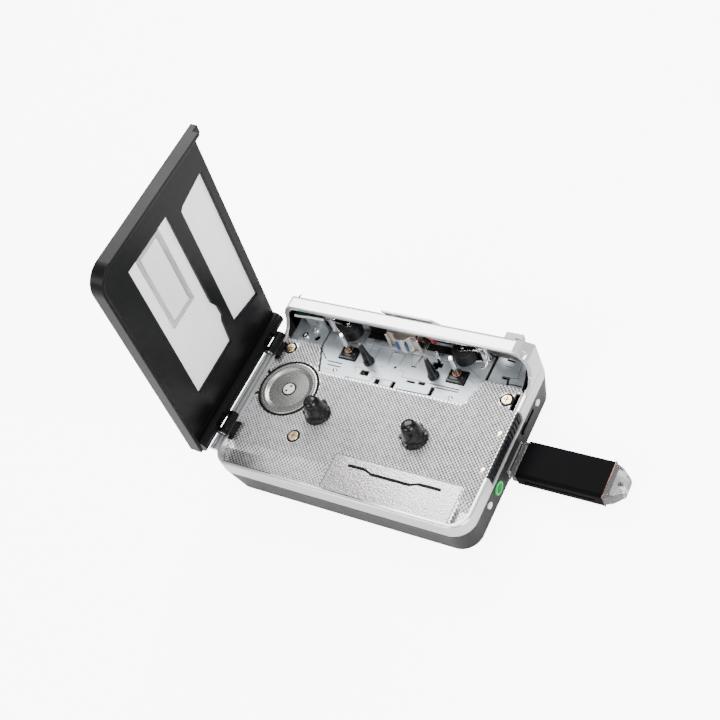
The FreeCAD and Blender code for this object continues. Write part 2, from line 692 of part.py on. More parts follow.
def batteries():
    cells = []
    for start in CELL_STARTS:
        can = rod_x(start, start + CELL_LENGTH - 1.0, CELL_Y, CELL_Z, CELL_RADIUS)
        nub = rod_x(start + CELL_LENGTH - 1.0, start + CELL_LENGTH, CELL_Y, CELL_Z, 1.9)
        cells.append(can.fuse(nub))
    return Part.makeCompound(cells)


def battery_contacts():
    plates = []
    for x in (CELL_STARTS[0] - 0.7, CELL_STARTS[1] + CELL_LENGTH + 0.1):
        plates.append(box(x, x + 0.6, CELL_Y - 4.0, CELL_Y + 4.0, 3.0, CELL_Z + 4.0))
    return Part.makeCompound(plates)


# --- lid, drawn closed and then swung open --------------------------------
WINDOW_REAR = ((91.3, 23.7), (88.9, 9.4), (87.6, 7.9), (23.3, 7.5), (20.0, 23.7))
WINDOW_FRONT = ((93.3, -23.5), (93.3, 1.5), (43.0, 1.5), (38.6, 3.3), (32.6, 3.6), (30.0, 2.4),
                (18.3, 1.5), (18.3, -23.5))
PANEL_OUTLINE = ((96.0, -26.5), (94.0, 25.6), (16.5, 25.6), (16.5, -26.5))
LENS = (55.6, 90.4, -16.4, -6.0)


def lid_point(reach):
    return HINGE_X + reach


def lid_prism(points, low, high):
    return prism([(lid_point(u), v) for u, v in points], HINGE_Z + low, HINGE_Z + high)


def opened(shape):
    turned = shape.copy()
    turned.rotate(Vector(HINGE_X, 0, HINGE_Z), Vector(0, -1, 0), LID_OPEN_DEG)
    return turned


def lid_plan(inset, low, high):
    """Lid outline: right end and front match the housing, rear edge straight."""
    right = lid_point(LID_REACH) - inset
    front = LID_FRONT + inset
    left = lid_point(0.5)
    radius = CORNER_RADIUS - inset
    z = HINGE_Z + low
    rear = LID_REAR + 10 if inset > 0 else LID_REAR
    right_centre = Vector(right - radius, front + radius, z)
    mid = right_centre + Vector(math.cos(math.radians(-45)), math.sin(math.radians(-45)), 0) * radius
    edges = [
        Part.LineSegment(Vector(left, rear, z), Vector(left, front, z)).toShape(),
        Part.LineSegment(Vector(left, front, z), Vector(right - radius, front, z)).toShape(),
        Part.Arc(Vector(right - radius, front, z), mid, Vector(right, front + radius, z)).toShape(),
        Part.LineSegment(Vector(right, front + radius, z), Vector(right, rear, z)).toShape(),
        Part.LineSegment(Vector(right, rear, z), Vector(left, rear, z)).toShape(),
    ]
    return Part.Face(Part.Wire(edges)).extrude(Vector(0, 0, high - low))


def lid_frame():
    outer = LID_INNER + LID_THICKNESS
    lip_low = LID_INNER - LID_LIP_DEPTH
    plate = lid_plan(0.0, lip_low, outer).cut(lid_plan(LID_LIP_WIDTH, lip_low - 1, LID_INNER))
    right = lid_point(LID_REACH)
    tail = box(right - 3.6, right, LID_REAR - 1, LID_LIP_REAR, HINGE_Z + LID_INNER - 0.6, HINGE_Z + outer)
    tube_z = HINGE_Z + outer - HINGE_TUBE_RADIUS
    tube = rod_y(lid_point(0.5), LID_FRONT + 2.2, LID_REAR, tube_z, HINGE_TUBE_RADIUS)
    solids = [plate, tail, tube]
    for y in BRACKET_Y:
        for side in (-1, 1):
            near = y + side * (BRACKET_WIDTH / 2 + 0.2)
            far = near + side * 1.8
            y0, y1 = min(near, far), max(near, far)
            solids.append(rod_y(HINGE_X, y0, y1, HINGE_Z, 1.9))
            solids.append(box(HINGE_X - 1.3, HINGE_X + 1.5, y0, y1, HINGE_Z, tube_z))
    whole = fused(solids)
    tools = [lid_prism(WINDOW_REAR, 0, 20), lid_prism(WINDOW_FRONT, 0, 20),
             lid_prism(PANEL_OUTLINE, outer - 0.8, 20),
             rod_y(HINGE_X, -60, 60, HINGE_Z, PIN_RADIUS)]
    for y in BRACKET_Y:
        half = BRACKET_WIDTH / 2 + 0.2
        tools.append(box(HINGE_X - 2.6, HINGE_X + 2.6, y - half, y + half, HINGE_Z - 5, HINGE_Z + 3.4))
    return opened(without(whole, tools).removeSplitter())


def lid_outer_panel():
    outer = LID_INNER + LID_THICKNESS
    points = ((95.8, -26.3), (93.8, 25.4), (16.7, 25.4), (16.7, -26.3))
    plate = lid_prism(points, outer - 0.8, outer)
    u0, u1, v0, v1 = LENS
    hole = box(lid_point(u0), lid_point(u1), v0, v1, HINGE_Z, HINGE_Z + 20)
    return opened(plate.cut(hole))


def lid_window():
    outer = LID_INNER + LID_THICKNESS
    u0, u1, v0, v1 = LENS
    lens = box(lid_point(u0), lid_point(u1), v0, v1, HINGE_Z + outer - 0.8, HINGE_Z + outer)
    frame = box(lid_point(u0 - 2), lid_point(u1 + 2), v0 - 2, v1 + 2,
                HINGE_Z + outer - 1.5, HINGE_Z + outer - 0.8)
    return opened(fused([lens, frame]))


def hinge_pins():
    pins = []
    for y in BRACKET_Y:
        half = BRACKET_WIDTH / 2 + 2.0
        pins.append(opened(rod_y(HINGE_X, y - half, y + half, HINGE_Z, PIN_RADIUS)))
    return Part.makeCompound(pins)


def hinge_brackets():
    brackets = []
    for y in BRACKET_Y:
        y0, y1 = y - BRACKET_WIDTH / 2, y + BRACKET_WIDTH / 2
        boss = rod_y(HINGE_X, y0, y1, HINGE_Z, 1.9)
        web = box(HINGE_X - 0.5, HINGE_X + 1.1, y0, y1, FLOOR_Z, HINGE_Z)
        foot = box(HINGE_X - 0.5, HINGE_X + 1.1, y0 - 1.2, y1 + 1.2, FLOOR_Z, FLOOR_Z + 1.0)
        whole = fused([boss, web, foot])
        brackets.append(whole.cut(rod_y(HINGE_X, -60, 60, HINGE_Z, PIN_RADIUS + RUNNING_CLEARANCE)))
    return Part.makeCompound(brackets)


def grip_space(clearance):
    return box(INNER_HALF_LENGTH - 1, 60, -16.3 - clearance, 11.8 + clearance, 15.6 - clearance, 25)


def thumb_grip():
    """Ribbed bar let into the end of the trim ring, below the free edge of the lid."""
    bar = box(INNER_HALF_LENGTH + 0.1, BODY_HALF_LENGTH - 0.5, -16.1, 11.6, 15.7, 20.2)
    bar = bar.makeFillet(0.3, bar.Edges)
    grooves = []
    for index in range(13):
        y = -15.0 + 2.0 * index
        grooves.append(box(BODY_HALF_LENGTH - 0.9, 60, y, y + 0.8, 16.3, 21))
    return without(bar, grooves)


# --- memory stick ---------------------------------------------------------
def stick_block(x0, x1, margin, fillet):
    half_w = STICK_WIDTH / 2 - margin
    half_h = STICK_HEIGHT / 2 - margin
    block = box(x0, x1, STICK_Y - half_w, STICK_Y + half_w, STICK_Z - half_h, STICK_Z + half_h)
    long_edges = [e for e in block.Edges if e.BoundBox.XLength > 0.5 * (x1 - x0)]
    return block.makeFillet(fillet, long_edges)


def stick_sleeve():
    """Sleeve with a shallow thumb groove along each narrow side."""
    block = stick_block(STICK_START, STICK_END, 0.0, 1.3)
    half = STICK_WIDTH / 2
    grooves = []
    for side in (-1, 1):
        y = STICK_Y + side * (half + 0.3)
        grooves.append(rod_x(STICK_START + 3, STICK_END - 3, y, STICK_Z, 0.7))
    return without(block, grooves)


def stick_collar():
    return stick_block(55.6, STICK_START, 0.5, 1.0)


def stick_plug():
    return box(43.2, 55.6, STICK_Y - 6.0, STICK_Y + 6.0, STICK_Z - 2.25, STICK_Z + 2.25)


def stick_cap():
    """Clear end cap that narrows to a lanyard loop."""
    sections = [
        outline(STICK_WIDTH / 2 - 0.2, STICK_HEIGHT / 2 - 0.2, 1.4, 0.0),
        outline(STICK_WIDTH / 2 - 1.4, STICK_HEIGHT / 2 - 0.5, 1.4, 3.0),
        outline(3.4, 2.0, 1.2, 6.4),
    ]
    dome = Part.makeLoft(sections, True, True)
    dome.rotate(Vector(0, 0, 0), Vector(1, 0, 0), 90)
    dome.rotate(Vector(0, 0, 0), Vector(0, 0, 1), 90)
    dome.translate(Vector(STICK_END, STICK_Y, STICK_Z))
    eye = rod(STICK_END + 4.2, STICK_Y - 0.5, 0, 12, 1.0)
    return dome.cut(eye)


# --- fasteners ------------------------------------------------------------
def floor_screws():
    screws = []
    for x, y in FLOOR_SCREWS:
        head = rod(x, y, FLOOR_Z - 0.5, FLOOR_Z + 0.5, 2.1)
        head = top_edges_filleted(head, FLOOR_Z + 0.5, 0.35)
        shaft = rod(x, y, 15.4, FLOOR_Z - 0.5, 1.05)
        cross = [box(x - 1.3, x + 1.3, y - 0.22, y + 0.22, FLOOR_Z - 0.1, 21),
                 box(x - 0.22, x + 0.22, y - 1.3, y + 1.3, FLOOR_Z - 0.1, 21)]
        screws.append(without(fused([head, shaft]), cross))
    return Part.makeCompound(screws)


def case_screws():
    screws = []
    for x, y in CASE_SCREWS:
        head = rod(x, y, 1.0, 2.4, 2.1)
        shaft = rod(x, y, 2.4, 16.2, 0.98)
        cross = [box(x - 1.3, x + 1.3, y - 0.25, y + 0.25, 0, 1.7),
                 box(x - 0.25, x + 0.25, y - 1.3, y + 1.3, 0, 1.7)]
        screws.append(without(fused([head, shaft]), cross))
    return Part.makeCompound(screws)


# --- write every piece ----------------------------------------------------
os.makedirs("parts", exist_ok=True)

save("lower_shell", lower_shell())
save("battery_door", battery_door())
save("trim_ring", trim_ring())
save("rear_bridge", rear_bridge())
save("well_floor", well_floor())
save("slot_panel", slot_panel())
save("deck_plate", deck_plate())
save("side_deck_plate", side_deck_plate())
save("rear_bracket", rear_bracket())
save("capstan_bushes", capstan_bushes())
save("locating_pins", locating_pins())
save("pivot_pins", pivot_pins())
save("motor_can", motor_can())
save("motor_cap", motor_cap())
save("motor_pulley", motor_pulley())
save("drive_belt", drive_belt())
save("flywheel_bracket", flywheel_bracket())
save("idler_arm", idler_arm())
save("idler_gear", idler_gear())
save("head_carriage", head_carriage())
save("tape_head", tape_head())
save("board_wire", board_wire())
save("control_board", control_board())
save("main_board", main_board())
save("usb_socket", usb_socket())
save("headphone_jack", headphone_jack())
save("indicator_lights", indicator_lights())
save("batteries", batteries())
save("battery_contacts", battery_contacts())
save("hinge_brackets", hinge_brackets())
save("hinge_pins", hinge_pins())
save("lid_frame", lid_frame())
save("lid_outer_panel", lid_outer_panel())
save("lid_window", lid_window())
save("thumb_grip", thumb_grip())
save("play_button", play_button())
save("mode_switch_knob", mode_switch_knob())
save("side_switch_knob", side_switch_knob())
save("stick_sleeve", stick_sleeve())
save("stick_collar", stick_collar())
save("stick_plug", stick_plug())
save("stick_cap", stick_cap())
save("floor_screws", floor_screws())
save("case_screws", case_screws())
for name, x in zip(("stop", "rewind", "forward"), REAR_BUTTONS_X):
    save(name + "_button", rear_button(x))
for index, side in enumerate(("left", "right")):
    save(side + "_spindle", spindle(REELS_X[index]))
    save(side + "_reel_gear", reel_gear(REELS_X[index]))
    save(side + "_flywheel", flywheel(CAPSTANS_X[index]))
    save(side + "_capstan", capstan(CAPSTANS_X[index]))
    save(side + "_pinch_arm", pinch_arm(PIVOTS[index], ROLLERS[index]))
    save(side + "_pinch_roller", pinch_roller(ROLLERS[index]))
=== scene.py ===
import bpy
import bmesh
import json
import math
from mathutils import Matrix, Vector

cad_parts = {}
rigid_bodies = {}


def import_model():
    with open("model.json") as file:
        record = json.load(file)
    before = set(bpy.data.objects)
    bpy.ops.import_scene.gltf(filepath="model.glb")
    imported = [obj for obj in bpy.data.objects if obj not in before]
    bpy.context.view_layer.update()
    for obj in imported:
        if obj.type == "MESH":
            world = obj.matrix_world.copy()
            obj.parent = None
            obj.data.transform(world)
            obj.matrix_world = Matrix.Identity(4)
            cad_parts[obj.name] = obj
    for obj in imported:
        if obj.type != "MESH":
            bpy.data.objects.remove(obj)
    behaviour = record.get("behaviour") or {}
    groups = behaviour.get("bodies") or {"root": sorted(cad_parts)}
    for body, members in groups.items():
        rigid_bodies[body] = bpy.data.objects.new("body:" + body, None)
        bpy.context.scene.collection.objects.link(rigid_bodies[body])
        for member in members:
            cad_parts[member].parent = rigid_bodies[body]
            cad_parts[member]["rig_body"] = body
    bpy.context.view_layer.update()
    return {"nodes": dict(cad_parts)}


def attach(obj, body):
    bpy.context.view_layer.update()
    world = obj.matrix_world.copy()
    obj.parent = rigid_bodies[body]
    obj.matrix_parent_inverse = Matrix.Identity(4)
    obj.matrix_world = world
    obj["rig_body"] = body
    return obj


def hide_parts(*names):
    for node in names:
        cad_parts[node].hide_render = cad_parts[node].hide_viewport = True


# Looks of a portable cassette player that stands with its lid open. Lengths are in
# millimetres, and turn into metres where a mesh or a material takes them. The stage,
# the lights and the camera are placed in metres.

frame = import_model()
NODES = frame["nodes"]
MM = 0.001

# ------------------------------------------------------- driving dimensions
FLOOR = 19.0
DECK = 18.0
RIM = 20.7
ON_DECK = DECK + 0.005
ON_FLOOR = FLOOR + 0.02
ON_RIM = RIM + 0.01

MOTOR = (-40.2, 0.3)
MOTOR_RADIUS = 11.85
REELS = {"left": (-21.75, -7.7), "right": (20.75, -7.7)}
CAPSTANS = {"left": (-23.85, 23.1), "right": (24.05, 23.1)}
PIVOTS = {"left": (-34.5, 32.0), "right": (32.8, 31.9)}
SCREWS = ((-27.2, -19.0), (-49.2, 18.2), (47.4, 16.6))
SCREW_GAP = (2.12, 2.75)
DOG_COUNT = 6

# The knurled field of the floor, and what is let into it.
FIELD_HALF_LENGTH = 53.0
FIELD_REAR = 22.4
FIELD_FRONT = -26.6
ROUND_HOLES = [(MOTOR, 13.0)]
ROUND_HOLES += [(place, 2.4) for place in REELS.values()]
ROUND_HOLES += [(place, SCREW_GAP[1]) for place in SCREWS]
KNURL_PITCH = 1.1
KNURL_HEIGHT = 0.26
KNURL_TOP_SHARE = 0.2
KNURL_SHIFT = 2.0


# --------------------------------------------------------------- materials
def nodes_of(mat):
    mat.use_nodes = True
    tree = mat.node_tree
    tree.nodes.clear()
    out = tree.nodes.new("ShaderNodeOutputMaterial")
    bsdf = tree.nodes.new("ShaderNodeBsdfPrincipled")
    tree.links.new(bsdf.outputs[0], out.inputs[0])
    return tree, bsdf


def noise(tree, coord, scale, detail=3.0, rough=0.55):
    node = tree.nodes.new("ShaderNodeTexNoise")
    node.inputs["Scale"].default_value = scale
    node.inputs["Detail"].default_value = detail
    node.inputs["Roughness"].default_value = rough
    tree.links.new(coord, node.inputs["Vector"])
    return node.outputs["Fac"]


def ranged(tree, value, low, high, a=0.3, b=0.7):
    """Maps a value from a..b to low..high, and holds it there."""
    node = tree.nodes.new("ShaderNodeMapRange")
    node.inputs["From Min"].default_value = a
    node.inputs["From Max"].default_value = b
    node.inputs["To Min"].default_value = low
    node.inputs["To Max"].default_value = high
    tree.links.new(value, node.inputs["Value"])
    return node.outputs[0]


def calc(tree, kind, *values):
    """Math node of the given kind, fed by sockets or by plain numbers."""
    node = tree.nodes.new("ShaderNodeMath")
    node.operation = kind
    for socket, value in zip(node.inputs, values):
        if isinstance(value, (int, float)):
            socket.default_value = value
        else:
            tree.links.new(value, socket)
    return node.outputs[0]


def shader(mat):
    return next(node for node in mat.node_tree.nodes if node.type == "BSDF_PRINCIPLED")


def material(name, color, rough, metal=0.0, grain=1500.0, bump=0.05, vary=0.08, coat=0.0,
             round_mm=0.25, stretch=(1, 1, 1), rough_vary=0.06, large=60.0, alpha=1.0,
             transmission=0.0, specular=0.5, grain_depth=0.00004):
    """Moulded or metal surface: fine grain, slow colour drift and softened edges."""
    mat = bpy.data.materials.new(name)
    tree, bsdf = nodes_of(mat)
    coord = tree.nodes.new("ShaderNodeTexCoord").outputs["Object"]
    mapping = tree.nodes.new("ShaderNodeMapping")
    mapping.inputs["Scale"].default_value = stretch
    tree.links.new(coord, mapping.inputs["Vector"])
    fine = noise(tree, mapping.outputs[0], grain)
    slow = noise(tree, coord, large, 4.0)
    mixed = calc(tree, "MULTIPLY_ADD", fine, 0.45, calc(tree, "MULTIPLY", slow, 0.42))
    tint = tree.nodes.new("ShaderNodeMix")
    tint.data_type = "RGBA"
    tint.inputs["A"].default_value = [c * (1 - vary) for c in color] + [1]
    tint.inputs["B"].default_value = [min(1, c * (1 + vary)) for c in color] + [1]
    tree.links.new(ranged(tree, mixed, 0, 1), tint.inputs["Factor"])
    tree.links.new(tint.outputs["Result"], bsdf.inputs["Base Color"])
    spread = ranged(tree, mixed, rough - rough_vary, rough + rough_vary)
    tree.links.new(spread, bsdf.inputs["Roughness"])
    bsdf.inputs["Metallic"].default_value = metal
    bsdf.inputs["Coat Weight"].default_value = coat
    bsdf.inputs["Coat Roughness"].default_value = 0.12
    bsdf.inputs["Specular IOR Level"].default_value = specular
    bsdf.inputs["Transmission Weight"].default_value = transmission
    bsdf.inputs["Alpha"].default_value = alpha
    relief = tree.nodes.new("ShaderNodeBump")
    relief.inputs["Strength"].default_value = bump
    relief.inputs["Distance"].default_value = grain_depth
    tree.links.new(fine, relief.inputs["Height"])
    if round_mm:
        edge = tree.nodes.new("ShaderNodeBevel")
        edge.samples = 4
        edge.inputs["Radius"].default_value = round_mm * MM
        tree.links.new(edge.outputs[0], relief.inputs["Normal"])
    tree.links.new(relief.outputs[0], bsdf.inputs["Normal"])
    return mat


def knurled(name, pitch, base):
    """Copy of a metal with painted shade in its grooves: the colour falls off to near black between small
    pyramids.
    """
    mat = base.copy()
    mat.name = name
    tree = mat.node_tree
    bsdf = shader(mat)
    color = bsdf.inputs["Base Color"].links[0].from_socket
    coord = tree.nodes.new("ShaderNodeTexCoord").outputs["Object"]
    split = tree.nodes.new("ShaderNodeSeparateXYZ")
    tree.links.new(coord, split.inputs[0])
    turn = 2 * math.pi / (pitch * MM * math.sqrt(2))
    shifted = calc(tree, "ADD", split.outputs["Y"], KNURL_SHIFT * MM)
    waves = []
    for kind in ("ADD", "SUBTRACT"):
        along = calc(tree, "MULTIPLY", calc(tree, kind, shifted, split.outputs["X"]), turn)
        waves.append(calc(tree, "COSINE", along))
    drift = calc(tree, "SUBTRACT", noise(tree, coord, 420.0), 0.5)
    level = calc(tree, "ADD", calc(tree, "ADD", *waves), calc(tree, "MULTIPLY", drift, 2.2))
    shade = ranged(tree, level, 0.14, 1.0, -1.4, 0.7)
    # Painted groove shade: near-black where the crossed cosine waves dip, with a little random drift.
    mix = tree.nodes.new("ShaderNodeMix")
    mix.data_type = "RGBA"
    mix.inputs["A"].default_value = (0.01, 0.01, 0.012, 1)
    tree.links.new(color, mix.inputs["B"])
    tree.links.new(shade, mix.inputs["Factor"])
    tree.links.new(mix.outputs["Result"], bsdf.inputs["Base Color"])
    return mat


# Black plastics and rubber, and the painted shade of gaps, recesses and creases.
BLACK = material("black_satin", (0.0035, 0.0035, 0.004), 0.38, grain=4200, bump=0.2, vary=0.15,
                 round_mm=0.5, specular=0.16)
LID_BLACK = material("lid_satin", (0.0035, 0.0035, 0.004), 0.34, grain=4200, bump=0.2, vary=0.18,
                     round_mm=0.55, specular=0.14)
GLOSS = material("gloss_black", (0.0025, 0.0025, 0.003), 0.22, grain=900, vary=0.2, specular=0.3)
STICK = material("stick_grey", (0.0015, 0.0015, 0.002), 0.5, grain=3600, bump=0.2, vary=0.15,
                 round_mm=0.2, specular=0.03)
RUBBER = material("roller_rubber", (0.0035, 0.0035, 0.004), 0.55, grain=3000, bump=0.3, vary=0.2,
                  round_mm=0.2, specular=0.3)
# Painted shade: near-black laid into gaps, slits, recesses and the space under the rear bridge, where only
# shade falls.
DARK = material("painted_recess_shade", (0.003, 0.003, 0.003), 0.7, grain=2500, bump=0.1, vary=0.3,
                round_mm=0, specular=0.15)
# Painted shade: a dark grey metal drawn along creases, grooves, seams and rail edges.
SHADE = material("painted_crease_shade", (0.06, 0.07, 0.08), 0.5, metal=0.3, grain=2500, bump=0.1, vary=0.2,
                 round_mm=0)

# Silver and metallised plastics.
SILVER = material("silver_pearl", (0.66, 0.66, 0.68), 0.20, metal=0.6, grain=5200, bump=0.12,
                  vary=0.03, round_mm=0.45, coat=0.4, rough_vary=0.04)
CHROME = material("metallised_floor", (0.80, 0.79, 0.81), 0.32, metal=0.78, grain=2600, bump=0.15,
                  round_mm=0.08)
KNURL = knurled("knurled_floor", KNURL_PITCH, CHROME)
FROST = material("frosted_panel", (0.46, 0.44, 0.44), 0.26, metal=0.9, bump=1.0, vary=0.25,
                 round_mm=0.1, grain_depth=0.00012)

# Metals.
STEEL = material("zinc_sheet", (0.42, 0.46, 0.49), 0.44, metal=0.75, grain=900, bump=0.1, vary=0.06,
                 round_mm=0.12, stretch=(1, 5, 1), rough_vary=0.08)
BRIGHT = material("bright_steel", (0.80, 0.79, 0.77), 0.14, metal=1.0, grain=800, vary=0.05,
                  round_mm=0.1, stretch=(1, 1, 8))
DISC = material("spun_disc", (0.50, 0.51, 0.48), 0.26, metal=0.85, grain=200, bump=0.01, vary=0.03,
                round_mm=0.1)
COPPER = material("copper_washer", (0.24, 0.13, 0.09), 0.3, metal=1.0, grain=900, vary=0.12,
                  round_mm=0.1)
BRASS = material("brass_screw", (0.72, 0.55, 0.38), 0.25, metal=1.0, grain=900, vary=0.12,
                 round_mm=0.12)
GOLD = material("contact_gold", (0.95, 0.72, 0.48), 0.25, metal=1.0, grain=900, vary=0.1,
                round_mm=0.1)
SHIELD = material("head_alloy", (0.70, 0.63, 0.55), 0.22, metal=1.0, grain=600, vary=0.1,
                  stretch=(6, 1, 1))
WHEEL = material("turned_wheel", (0.62, 0.54, 0.36), 0.3, metal=1.0, grain=900, round_mm=0.15)

# Pale and coloured plastics.
WHITE = material("white_boss", (0.78, 0.80, 0.80), 0.42, vary=0.03, round_mm=0.15)
GREY = material("button_grey", (0.50, 0.49, 0.50), 0.36, grain=3200, bump=0.15, vary=0.06,
                round_mm=0.3)
NYLON = material("nylon", (0.74, 0.72, 0.66), 0.45, vary=0.05, round_mm=0.1)
GREEN = material("jack_green", (0.02, 0.42, 0.10), 0.3, vary=0.1, round_mm=0.12)
BLUE = material("gap_blue", (0.01, 0.04, 0.14), 0.3, vary=0.2, round_mm=0)
RED = material("red_sleeve", (0.30, 0.01, 0.02), 0.4, vary=0.15, round_mm=0)
WIRE_WHITE = material("white_sleeve", (0.82, 0.82, 0.80), 0.4, vary=0.04, round_mm=0)
BOARD = material("board_lacquer", (0.004, 0.06, 0.035), 0.25, grain=500, bump=0.2, vary=0.35,
                 round_mm=0.1, coat=0.4)
CELL = material("cell_wrap", (0.05, 0.06, 0.08), 0.3, grain=800, vary=0.1, round_mm=0.2)
# Painted backlight: the lid panel is translucent, and its near-white colour stands in for the light shining
# through it.
SMOKE = material("panel_painted_backlight", (0.96, 0.96, 0.97), 0.30, vary=0.04, round_mm=0.15, coat=0.4)
LENS = material("white_lens", (0.90, 0.91, 0.92), 0.25, vary=0.02, round_mm=0.2)

# Clear plastics.
CLEAR = material("clear_plastic", (0.96, 0.97, 0.98), 0.06, grain=700, bump=0.02, vary=0.01,
                 round_mm=0, transmission=0.92, specular=0.7)
PANE = material("window_pane", (0.93, 0.94, 0.95), 0.10, grain=700, bump=0.02, vary=0.02,
                round_mm=0, transmission=0.85, specular=0.6)

LOOKS = {
    "lower_shell": BLACK, "battery_door": BLACK, "trim_ring": SILVER, "rear_bridge": SILVER,
    "well_floor": KNURL, "slot_panel": FROST, "deck_plate": STEEL, "side_deck_plate": STEEL,
    "rear_bracket": STEEL, "capstan_bushes": GLOSS, "locating_pins": GLOSS, "pivot_pins": BRIGHT,
    "motor_can": DISC, "motor_cap": WHITE, "motor_pulley": NYLON, "drive_belt": RUBBER,
    "flywheel_bracket": STEEL, "idler_arm": NYLON, "idler_gear": NYLON, "head_carriage": STEEL,
    "tape_head": SHIELD, "control_board": BOARD, "board_wire": WIRE_WHITE, "main_board": BOARD,
    "usb_socket": BRIGHT, "headphone_jack": GREEN, "indicator_lights": LENS, "batteries": CELL,
    "battery_contacts": BRIGHT, "hinge_brackets": BLACK, "hinge_pins": BRIGHT, "lid_frame": LID_BLACK,
    "lid_outer_panel": SMOKE, "lid_window": PANE, "thumb_grip": BLACK, "play_button": SILVER,
    "mode_switch_knob": GREY, "side_switch_knob": BLACK, "stick_sleeve": STICK, "stick_collar": CLEAR,
    "stick_plug": BRIGHT, "stick_cap": CLEAR, "floor_screws": BRASS, "case_screws": BRIGHT,
    "stop_button": GREY, "rewind_button": GREY, "forward_button": GREY,
}
for side in ("left", "right"):
    LOOKS[side + "_spindle"] = GLOSS
    LOOKS[side + "_reel_gear"] = NYLON
    LOOKS[side + "_flywheel"] = WHEEL
    LOOKS[side + "_capstan"] = BRIGHT
    LOOKS[side + "_pinch_arm"] = BRIGHT
    LOOKS[side + "_pinch_roller"] = RUBBER
for name, look in LOOKS.items():
    slots = NODES[name].data.materials
    slots.clear()
    slots.append(look)


# ------------------------------------------------------------ mesh helpers
def place(obj, body, slot):
    bpy.context.scene.collection.objects.link(obj)
    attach(obj, body)
    return obj


def add(name, verts, faces, mat, body="housing", smooth=False, bevel=0.0, slot=None):
    """Piece of one material on one body, from points in millimetres."""
    mesh = bpy.data.meshes.new(name)
    mesh.from_pydata([tuple(c * MM for c in v) for v in verts], [], faces)
    bm = bmesh.new()
    bm.from_mesh(mesh)
    bmesh.ops.recalc_face_normals(bm, faces=bm.faces)
    if bevel:
        sharp = [e for e in bm.edges if len(e.link_faces) == 2 and e.calc_face_angle(0) > 0.5]
        bmesh.ops.bevel(bm, geom=sharp, offset=bevel * MM, segments=3, profile=0.5, affect="EDGES")
    bm.to_mesh(mesh)
    bm.free()
    if smooth:
        mesh.shade_smooth()
        mesh.set_sharp_from_angle(angle=math.radians(40))
    mesh.materials.append(mat)
    return place(bpy.data.objects.new(name, mesh), body, slot)


def extrude(name, points, z0, z1, mat, **more):
    """Upright prism over an (x, y) outline."""
    n = len(points)
    verts = [(x, y, z0) for x, y in points] + [(x, y, z1) for x, y in points]
    faces = [list(range(n))[::-1], list(range(n, 2 * n))]
    faces += [[i, (i + 1) % n, n + (i + 1) % n, n + i] for i in range(n)]
    return add(name, verts, faces, mat, **more)


def block(name, lo, hi, mat, bevel=0.12, **more):
    points = [(lo[0], lo[1]), (hi[0], lo[1]), (hi[0], hi[1]), (lo[0], hi[1])]
    return extrude(name, points, lo[2], hi[2], mat, bevel=bevel, smooth=True, **more)


def sweep(name, profile, along, start, end, mat, closed=True, **more):
    """Profile of (across, z) points carried along x or y: a capped bar, or a thin sheet when open."""
    n = len(profile)
    if along == "x":
        verts = [(x, y, z) for x in (start, end) for y, z in profile]
    else:
        verts = [(x, y, z) for y in (start, end) for x, z in profile]
    if closed:
        faces = [list(range(n)), list(range(n, 2 * n))[::-1]]
        faces += [[k, (k + 1) % n, n + (k + 1) % n, n + k] for k in range(n)]
    else:
        faces = [[k, k + 1, n + k + 1, n + k] for k in range(n - 1)]
    return add(name, verts, faces, mat, **more)


def lathe(name, cx, cy, profile, mat, steps=64, **more):
    """Turned shape from (radius, z) points round an upright axis."""
    verts, faces = [], []
    for r, z in profile:
        for i in range(steps):
            a = 2 * math.pi * i / steps
            verts.append((cx + max(r, 1e-3) * math.cos(a), cy + max(r, 1e-3) * math.sin(a), z))
    for k in range(len(profile) - 1):
        for i in range(steps):
            j = (i + 1) % steps
            faces.append([k * steps + i, k * steps + j, (k + 1) * steps + j, (k + 1) * steps + i])
    return add(name, verts, faces, mat, smooth=True, **more)


def flat_ring(name, centre, inner, outer, z0, z1, mat, **more):
    profile = [(inner, z0), (outer, z0), (outer, z1), (inner, z1), (inner, z0)]
    return lathe(name, centre[0], centre[1], profile, mat, **more)


def strokes(name, lines, width, z, mat, height=0.05, **more):
    """Flat strips along (x, y) lines, each one a shallow bar."""
    verts, faces = [], []
    for line in lines:
        for (x0, y0), (x1, y1) in zip(line, line[1:]):
            length = math.hypot(x1 - x0, y1 - y0)
            dx, dy = (x1 - x0) / length * width / 2, (y1 - y0) / length * width / 2
            n = len(verts)
            for zz in (z, z + height):
                verts += [(x0 - dx - dy, y0 - dy + dx, zz), (x0 - dx + dy, y0 - dy - dx, zz),
                          (x1 + dx + dy, y1 + dy - dx, zz), (x1 + dx - dy, y1 + dy + dx, zz)]
            faces += [[n, n + 1, n + 2, n + 3], [n + 4, n + 5, n + 6, n + 7]]
            faces += [[n + k, n + (k + 1) % 4, n + 4 + (k + 1) % 4, n + 4 + k] for k in range(4)]
    return add(name, verts, faces, mat, **more)


def wire(name, points, radius, mat, body="housing", slot=None):
    """Round wire through points, turned into a mesh."""
    curve = bpy.data.curves.new(name + "_path", "CURVE")
    curve.dimensions = "3D"
    curve.bevel_depth = radius * MM
    curve.bevel_resolution = 3
    curve.use_fill_caps = True
    spline = curve.splines.new("NURBS")
    spline.points.add(len(points) - 1)
    for knot, co in zip(spline.points, points):
        knot.co = [c * MM for c in co] + [1]
    spline.order_u = 3
    spline.use_endpoint_u = True
    spline.resolution_u = 8
    temp = bpy.data.objects.new(name + "_curve", curve)
    bpy.context.scene.collection.objects.link(temp)
    mesh = bpy.data.meshes.new_from_object(temp.evaluated_get(bpy.context.evaluated_depsgraph_get()))
    bpy.data.objects.remove(temp)
    mesh.name = name
    mesh.materials.clear()
    mesh.materials.append(mat)
    mesh.shade_smooth()
    return place(bpy.data.objects.new(name, mesh), body, slot)


